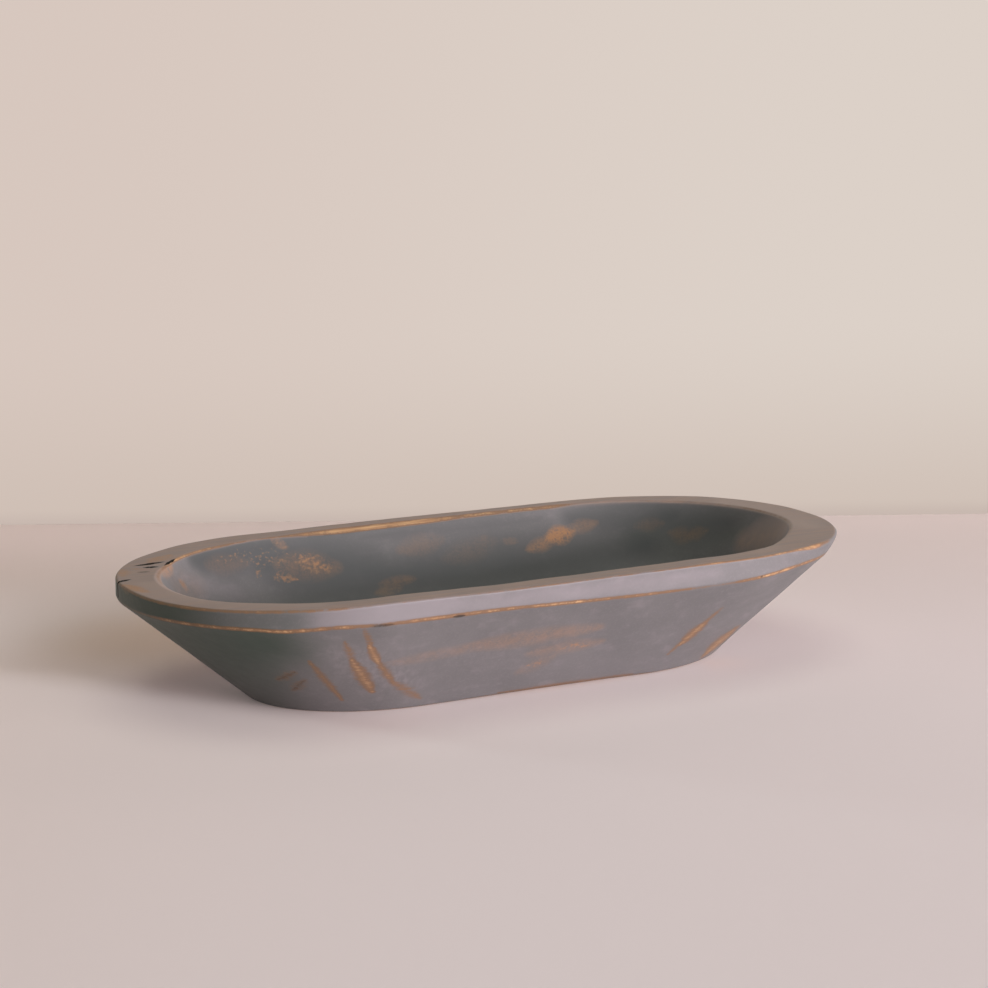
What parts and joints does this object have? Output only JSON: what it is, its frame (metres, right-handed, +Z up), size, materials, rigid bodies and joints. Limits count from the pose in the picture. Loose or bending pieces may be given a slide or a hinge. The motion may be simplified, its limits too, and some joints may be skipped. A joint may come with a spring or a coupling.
{
  "type": "dough bowl",
  "caption": "Long carved wooden dough bowl with a flat rim, straight flared sides, round ends and a smooth hollow, painted and worn, for dough, fruit or candles.",
  "frame": {"origin": "centre of the flat base, on the surface that the bowl stands on", "axes": "+Z up out of the mouth, +X along the bowl, away from the end with the splits"},
  "size_m": [0.4597, 0.2368, 0.0765],
  "materials": {
    "painted_wood": "matte slate-grey paint rubbed through to brown wood on the arrises",
    "dark_filler": "matte near-black wood filler"
  },
  "bodies": {
    "root": {"carved_bowl": "painted_wood", "long_split_filler": "dark_filler", "short_split_filler": "dark_filler", "edge_split_filler": "dark_filler", "mouth_split_filler": "dark_filler"}
  },
  "joints": []
}
